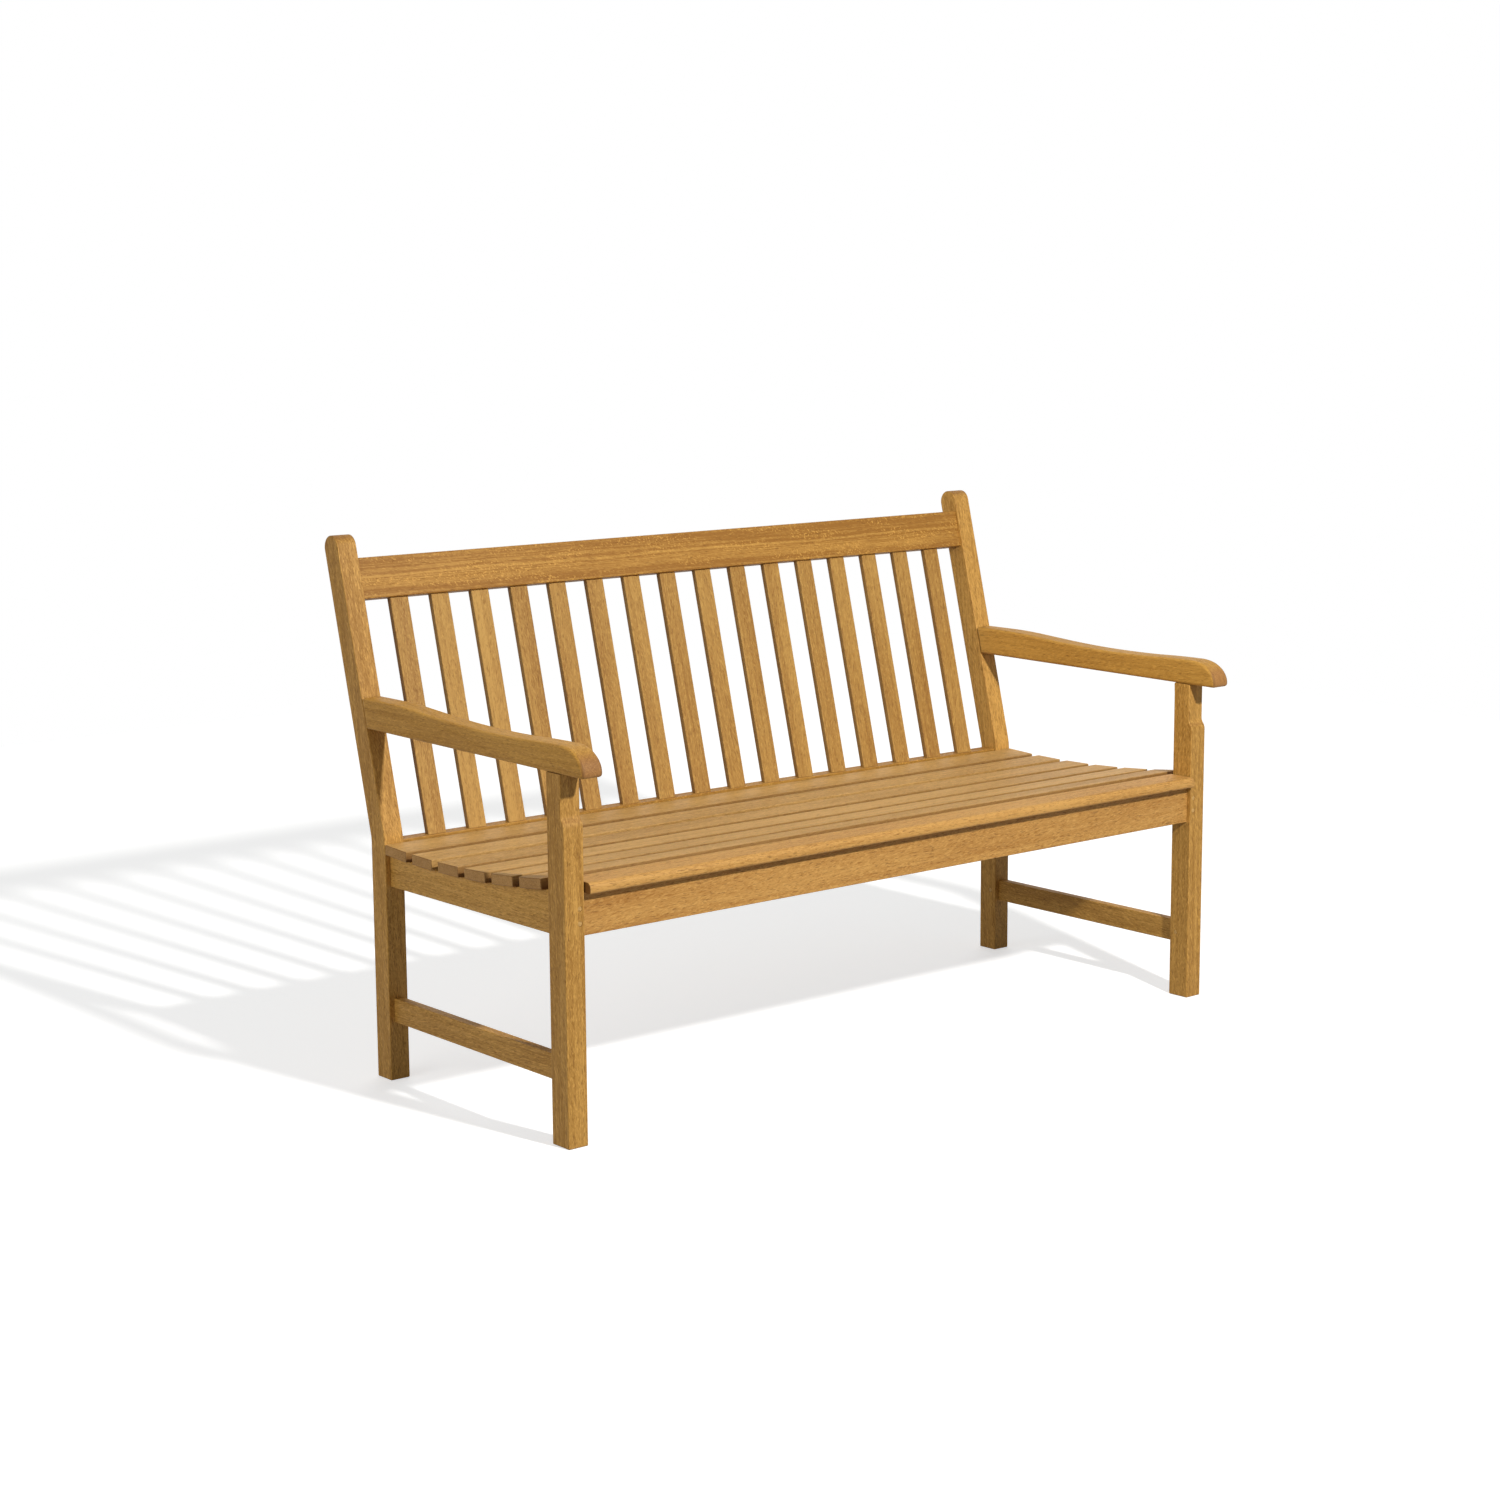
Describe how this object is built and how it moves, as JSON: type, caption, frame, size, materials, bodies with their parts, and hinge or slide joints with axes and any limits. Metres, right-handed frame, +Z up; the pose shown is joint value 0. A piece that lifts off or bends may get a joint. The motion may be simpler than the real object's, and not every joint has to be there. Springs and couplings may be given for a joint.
{
  "type": "garden bench",
  "caption": "Slatted hardwood garden bench with a raked slat back, a dished slat seat, scooped armrests and pinned mortise-and-tenon joints.",
  "frame": {"origin": "on the floor, under the middle of the whole bench", "axes": "+X along the bench to the right of someone looking at its front, +Y to the back, +Z up"},
  "size_m": [1.503, 0.743, 0.936],
  "materials": {
    "frame_wood": "oiled",
    "arm_wood": "oiled",
    "back_rail_wood": "oiled",
    "back_slat_wood": "oiled",
    "seat_wood": "oiled",
    "peg_wood": "end grain, oiled"
  },
  "bodies": {
    "root": {"armrest_left": "arm_wood", "armrest_right": "arm_wood", "back_leg_left": "frame_wood", "back_leg_right": "frame_wood", "back_slat_01": "back_slat_wood", "back_slat_02": "back_slat_wood", "back_slat_03": "back_slat_wood", "back_slat_04": "back_slat_wood", "back_slat_05": "back_slat_wood", "back_slat_06": "back_slat_wood", "back_slat_07": "back_slat_wood", "back_slat_08": "back_slat_wood", "back_slat_09": "back_slat_wood", "back_slat_10": "back_slat_wood", "back_slat_11": "back_slat_wood", "back_slat_12": "back_slat_wood", "back_slat_13": "back_slat_wood", "back_slat_14": "back_slat_wood", "back_slat_15": "back_slat_wood", "back_slat_16": "back_slat_wood", "front_apron": "frame_wood", "front_leg_left": "frame_wood", "front_leg_right": "frame_wood", "lower_back_rail": "back_rail_wood", "peg_apron_left_1": "peg_wood", "peg_apron_left_2": "peg_wood", "peg_apron_right_1": "peg_wood", "peg_apron_right_2": "peg_wood", "peg_lower_rail_left": "peg_wood", "peg_lower_rail_right": "peg_wood", "peg_side_rail_back_left": "peg_wood", "peg_side_rail_back_right": "peg_wood", "peg_side_rail_front_left": "peg_wood", "peg_side_rail_front_right": "peg_wood", "peg_stretcher_back_left": "peg_wood", "peg_stretcher_back_right": "peg_wood", "peg_stretcher_front_left": "peg_wood", "peg_stretcher_front_right": "peg_wood", "peg_top_rail_left_1": "peg_wood", "peg_top_rail_left_2": "peg_wood", "peg_top_rail_right_1": "peg_wood", "peg_top_rail_right_2": "peg_wood", "seat_bearer_middle": "frame_wood", "seat_slat_1": "seat_wood", "seat_slat_2": "seat_wood", "seat_slat_3": "seat_wood", "seat_slat_4": "seat_wood", "seat_slat_5": "seat_wood", "seat_slat_6": "seat_wood", "seat_slat_7": "seat_wood", "side_seat_rail_left": "frame_wood", "side_seat_rail_right": "frame_wood", "stretcher_left": "frame_wood", "stretcher_right": "frame_wood", "top_back_rail": "back_rail_wood"}
  },
  "joints": []
}
